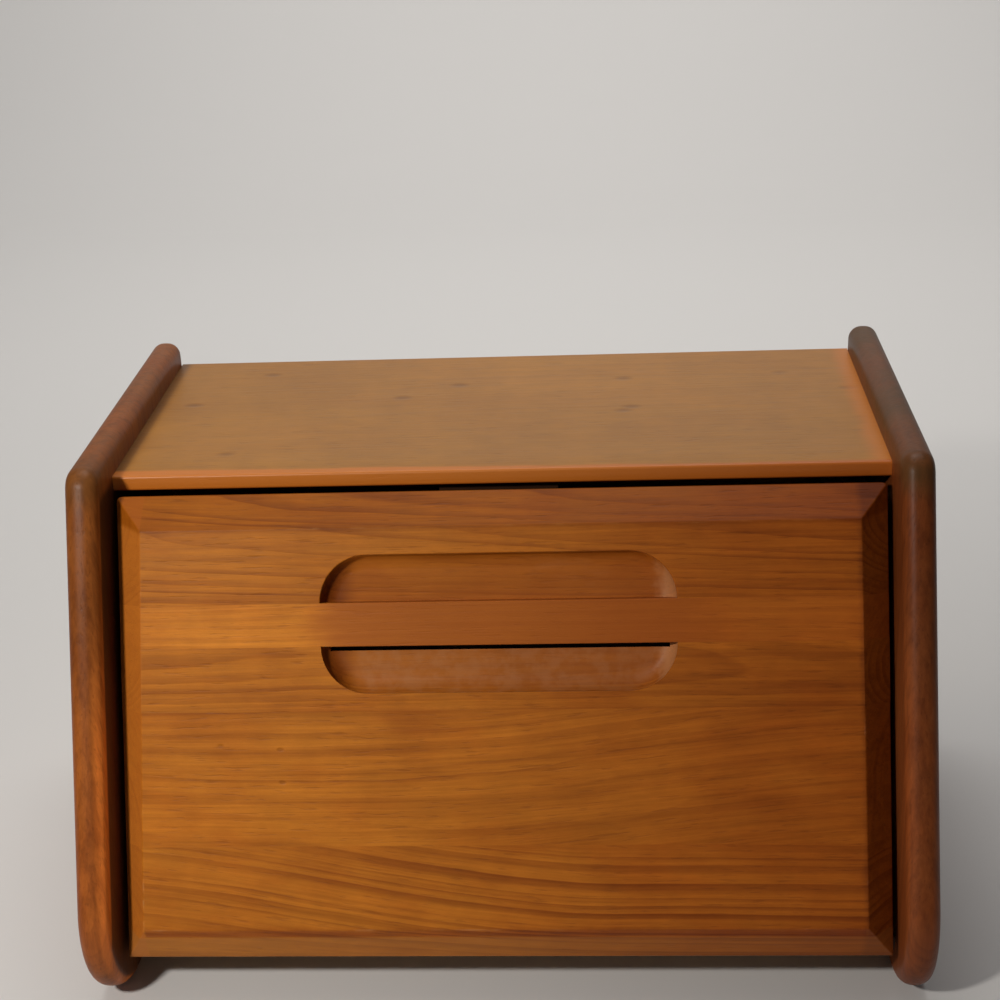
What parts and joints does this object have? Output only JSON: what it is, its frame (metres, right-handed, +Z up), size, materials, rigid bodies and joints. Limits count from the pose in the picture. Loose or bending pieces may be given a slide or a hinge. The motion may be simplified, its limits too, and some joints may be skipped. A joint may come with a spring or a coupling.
{
  "type": "bread box",
  "caption": "Wooden bread box: round-edged sides that form the feet, a flat top, and a deep drawer whose leaning raised-panel front has a scooped finger pull.",
  "frame": {"origin": "on the surface that the box stands on, midway between the two sides and midway between the foremost and the rearmost point", "axes": "+X to the box's own left-to-right as seen from the front, +Y to the back, +Z up; the drawer opens along -Y"},
  "size_m": [0.42, 0.288, 0.266],
  "materials": {
    "side_wood": "satin varnish over reddish brown board",
    "top_wood": "satin varnish, dented and scratched from use",
    "front_wood": "satin varnish over edge-glued boards",
    "grip_rail_wood": "satin varnish over a lighter board",
    "inner_wood": "bare planed wood",
    "runner_wood": "bare planed wood, waxed",
    "plywood": "bare plywood",
    "dowel_wood": "bare fluted dowel",
    "screw_steel": "zinc plated steel"
  },
  "bodies": {
    "case": {"side_left": "side_wood", "side_right": "side_wood", "top_panel": "top_wood", "base_panel": "inner_wood", "back_panel": "plywood", "case_dowels": "dowel_wood", "runner_left": "runner_wood", "runner_right": "runner_wood", "runner_screws": "screw_steel", "stop_block": "runner_wood", "stop_screws": "screw_steel"},
    "drawer": {"front_top_board": "front_wood", "front_grip_rail": "grip_rail_wood", "front_middle_board": "front_wood", "front_lower_board": "front_wood", "front_bottom_board": "front_wood", "drawer_side_left": "inner_wood", "drawer_side_right": "inner_wood", "drawer_back": "inner_wood", "drawer_bottom": "plywood", "front_dowels": "dowel_wood", "drawer_screws": "screw_steel"}
  },
  "joints": [
    {"name": "drawer_slide", "type": "slide", "parent": "case", "child": "drawer", "axis": [0, -1, 0], "range_m": [0, 0.12]}
  ]
}
